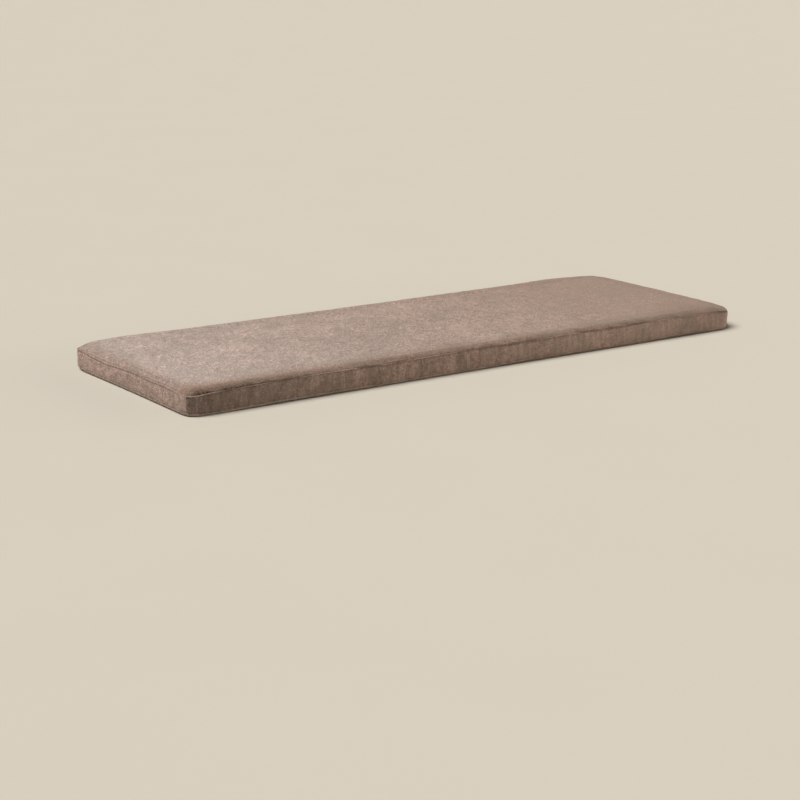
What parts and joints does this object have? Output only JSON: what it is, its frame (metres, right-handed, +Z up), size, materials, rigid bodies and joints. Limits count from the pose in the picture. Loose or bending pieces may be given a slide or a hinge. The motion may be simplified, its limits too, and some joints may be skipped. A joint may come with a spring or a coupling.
{
  "type": "bench cushion",
  "caption": "Long flat seat cushion for a bench: a filled, boxed fabric pad with a gently crowned top, soft rolled edges and sewn seams round its side band.",
  "frame": {"origin": "middle of the flat underside, centred on the bounding box", "axes": "+X along the cushion's length, +Y across its width towards the back long side, +Z up through its thickness"},
  "size_m": [1.448, 0.5, 0.0508],
  "materials": {
    "fabric": "matte brushed suede-like pile, warm grey-brown, softly mottled"
  },
  "bodies": {
    "root": {"cushion": "fabric"}
  },
  "joints": []
}
